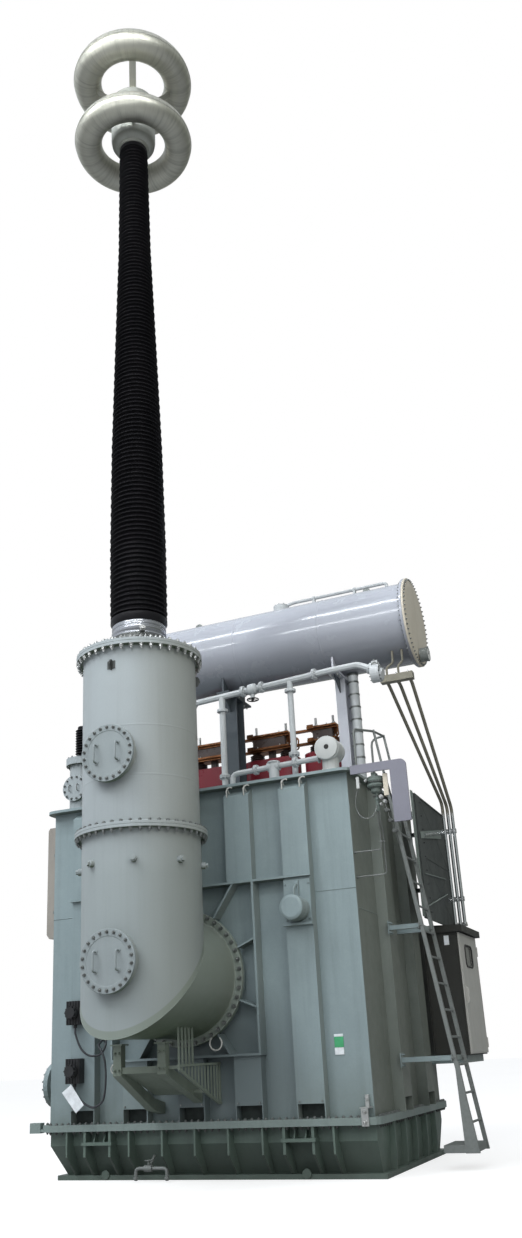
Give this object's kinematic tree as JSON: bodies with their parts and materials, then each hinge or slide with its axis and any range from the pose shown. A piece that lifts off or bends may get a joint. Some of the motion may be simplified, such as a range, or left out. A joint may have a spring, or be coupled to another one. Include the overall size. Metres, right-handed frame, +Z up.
{
  "type": "power transformer",
  "caption": "Single-phase power transformer with a ribbed tank, side high-voltage turret, tall composite bushing with grading rings, conservator, ladder and control cabinet.",
  "frame": {"origin": "centre of the base plate's underside, on the floor", "axes": "+Z up; -Y towards the high-voltage turret and its bushing; +X towards the end with the ladder and control cabinet"},
  "size_m": [5.9451, 6.545, 17.8423],
  "materials": {
    "tank_paint": "satin grey-green paint",
    "lower_paint": "satin grey-green paint, soiled",
    "turret_paint": "satin light grey paint",
    "conservator_paint": "glossy light grey paint",
    "end_paint": "satin beige-grey paint",
    "pipe_paint": "satin light grey paint",
    "dark_post": "satin dark grey paint",
    "portal_paint": "satin lilac-grey paint",
    "cabinet_paint": "satin brown-grey paint",
    "aluminium": "spun, brushed",
    "steel": "galvanised, dull",
    "silicone": "satin silicone rubber",
    "copper": "oxidised copper",
    "maroon": "glossy maroon paint",
    "glass": "dark clear pane",
    "black": "matte",
    "white": "satin white paint"
  },
  "bodies": {
    "root": {"base_plate": "lower_paint", "lower_tank": "lower_paint", "tank_lower_flange": "tank_paint", "tank_upper_flange": "tank_paint", "core_and_coils": "steel", "front_wall": "tank_paint", "back_wall": "tank_paint", "right_wall": "tank_paint", "left_wall": "tank_paint", "cover_plate": "tank_paint", "turret_frame": "tank_paint", "turret_wall_flange": "tank_paint", "turret_elbow": "turret_paint", "turret_upper": "turret_paint", "turret_top_plate": "turret_paint", "manhole_cover_upper": "turret_paint", "manhole_cover_lower": "turret_paint", "elbow_bracket": "tank_paint", "bushing_base": "aluminium", "bushing_insulator": "silicone", "bushing_cap": "aluminium", "grading_ring_lower": "aluminium", "grading_ring_upper": "aluminium", "conservator_shell": "conservator_paint", "conservator_end_right": "end_paint", "conservator_end_left": "conservator_paint", "conservator_post_left": "dark_post", "conservator_post_right": "conservator_paint", "breather_pipe": "pipe_paint", "oil_pipe": "pipe_paint", "gas_relay": "pipe_paint", "banded_pipe": "pipe_paint", "level_gauge": "steel", "lv_base_a": "maroon", "lv_base_b": "maroon", "lv_base_c": "maroon", "lv_busbars": "copper", "cover_pipe": "pipe_paint", "neutral_turret": "turret_paint", "neutral_bushing": "silicone", "pressure_relief_valve": "white", "ladder": "steel", "ladder_bracket_upper": "tank_paint", "ladder_bracket_lower": "tank_paint", "gauge_portal": "portal_paint", "gauge_box": "tank_paint", "cabinet_body": "cabinet_paint", "cabinet_bracket": "tank_paint", "side_panel": "cabinet_paint", "conduits": "steel", "left_valve_flange": "tank_paint", "left_duct": "end_paint", "drain_pipe": "pipe_paint", "thermometer_drum": "tank_paint", "connector_upper": "black", "connector_lower": "black", "cable_upper": "black", "cable_lower": "black"},
    "door": {"cabinet_door": "cabinet_paint", "cabinet_window": "glass"}
  },
  "joints": [
    {"name": "cabinet_hinge", "type": "hinge", "parent": "root", "child": "door", "pos_m": [2.99, 2.472, 2.2], "axis": [0, 0, 1], "range_deg": [0, 110]}
  ]
}
